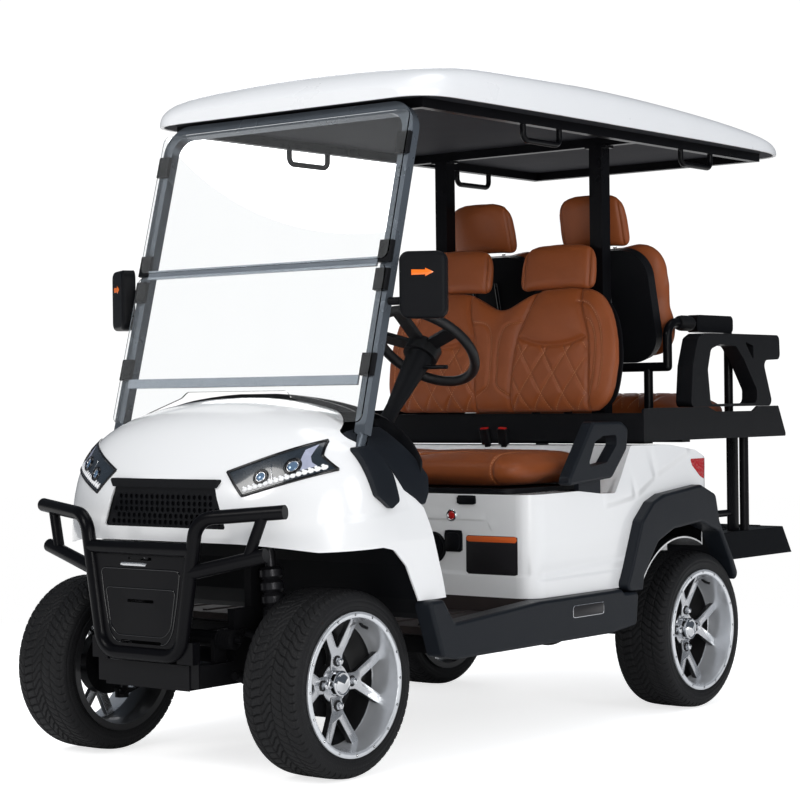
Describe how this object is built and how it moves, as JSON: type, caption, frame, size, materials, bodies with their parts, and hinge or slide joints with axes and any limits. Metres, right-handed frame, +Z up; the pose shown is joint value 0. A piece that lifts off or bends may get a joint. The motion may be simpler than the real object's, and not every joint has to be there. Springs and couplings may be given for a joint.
{
  "type": "golf cart",
  "caption": "White electric golf cart with a front bench, a rear-facing rear seat with step, brown seats, black trim, brush guard, split windshield and long roof.",
  "frame": {"origin": "middle of the footprint on the ground", "axes": "-Y forward, +Y to the rear, +X to the driver's side, which is the vehicle's left, +Z up"},
  "size_m": [1.2808, 2.797, 1.984],
  "materials": {
    "tyre": "matte",
    "rim": "machined faces on a polished barrel",
    "black_steel": "satin",
    "spring_steel": "dark coated",
    "coated_tube": "satin powder coat",
    "battery_case": "matte",
    "body_white": "gloss paint",
    "roof_white": "gloss",
    "liner_grey": "satin",
    "lamp_clear": "clear",
    "lamp_red": "gloss",
    "black_plastic": "fine grain",
    "floor_mat": "matte",
    "screen_frame_paint": "satin",
    "clear_sheet": "clear",
    "brown_leather": "soft grain",
    "chrome_trim": "polished",
    "wheel_grip": "soft grip"
  },
  "bodies": {
    "chassis": {"chassis_frame": "black_steel", "front_arms": "black_steel", "steering_rack": "black_steel", "rear_axle": "black_steel", "front_shocks": "spring_steel", "rear_leaf_springs": "spring_steel", "brush_guard": "coated_tube", "roof_frame": "coated_tube", "roof_posts": "coated_tube", "rear_seat_frame": "coated_tube", "step_posts": "coated_tube", "skid_box": "coated_tube", "battery_block": "battery_case", "front_cowl": "body_white", "rear_body": "body_white", "roof_shell": "roof_white", "roof_liner": "liner_grey", "headlights": "lamp_clear", "tail_lamps": "lamp_red", "front_liner": "black_plastic", "grille": "black_plastic", "dash_panel": "black_plastic", "knee_pads": "black_plastic", "pedals": "black_plastic", "post_covers": "black_plastic", "rockers": "black_plastic", "rear_flares": "black_plastic", "hip_handles": "black_plastic", "rear_tray": "black_plastic", "rear_seat_shells": "black_plastic", "rear_armrests": "black_plastic", "rear_step": "black_plastic", "steering_column": "black_plastic", "side_mirrors": "black_plastic", "floor_pan": "floor_mat", "windshield_frame": "screen_frame_paint", "windshield_panes": "clear_sheet", "windshield_rails": "black_plastic", "front_backrest": "brown_leather", "front_headrests": "brown_leather", "rear_cushion": "brown_leather", "rear_backrests": "brown_leather", "rear_headrests": "brown_leather", "headrest_stems": "chrome_trim"},
    "knuckle_left": {"knuckle_left": "black_steel"},
    "knuckle_right": {"knuckle_right": "black_steel"},
    "wheel_front_left": {"tyre_front_left": "tyre", "rim_front_left": "rim"},
    "wheel_front_right": {"tyre_front_right": "tyre", "rim_front_right": "rim"},
    "wheel_rear_left": {"tyre_rear_left": "tyre", "rim_rear_left": "rim"},
    "wheel_rear_right": {"tyre_rear_right": "tyre", "rim_rear_right": "rim"},
    "hand_wheel": {"steering_wheel": "wheel_grip"},
    "front_seat_lid": {"seat_pan": "black_plastic", "front_cushion": "brown_leather"}
  },
  "joints": [
    {"name": "steer_left", "type": "hinge", "parent": "chassis", "child": "knuckle_left", "pos_m": [0.35, -1.1165, 0.25], "axis": [0, 0, 1], "range_deg": [-30, 30]},
    {"name": "steer_right", "type": "hinge", "parent": "chassis", "child": "knuckle_right", "pos_m": [-0.35, -1.1165, 0.25], "axis": [0, 0, 1], "range_deg": [-30, 30]},
    {"name": "spin_front_left", "type": "hinge", "parent": "knuckle_left", "child": "wheel_front_left", "pos_m": [0.433, -1.1165, 0.25], "axis": [1, 0, 0], "continuous": true},
    {"name": "spin_front_right", "type": "hinge", "parent": "knuckle_right", "child": "wheel_front_right", "pos_m": [-0.433, -1.1165, 0.25], "axis": [1, 0, 0], "continuous": true},
    {"name": "spin_rear_left", "type": "hinge", "parent": "chassis", "child": "wheel_rear_left", "pos_m": [0.511, 0.5335, 0.25], "axis": [1, 0, 0], "continuous": true},
    {"name": "spin_rear_right", "type": "hinge", "parent": "chassis", "child": "wheel_rear_right", "pos_m": [-0.511, 0.5335, 0.25], "axis": [1, 0, 0], "continuous": true},
    {"name": "hand_wheel_turn", "type": "hinge", "parent": "chassis", "child": "hand_wheel", "pos_m": [0.28, -0.5105, 1.122], "axis": [0, 0.6511, 0.759], "range_deg": [-390, 390]},
    {"name": "seat_lid_hinge", "type": "hinge", "parent": "chassis", "child": "front_seat_lid", "pos_m": [0, -0.3455, 0.7198], "axis": [1, 0, 0], "range_deg": [0, 60]}
  ],
  "couplings": [
    {"joint": "steer_right", "follows": "steer_left", "ratio": 1},
    {"joint": "hand_wheel_turn", "follows": "steer_left", "ratio": 13}
  ]
}
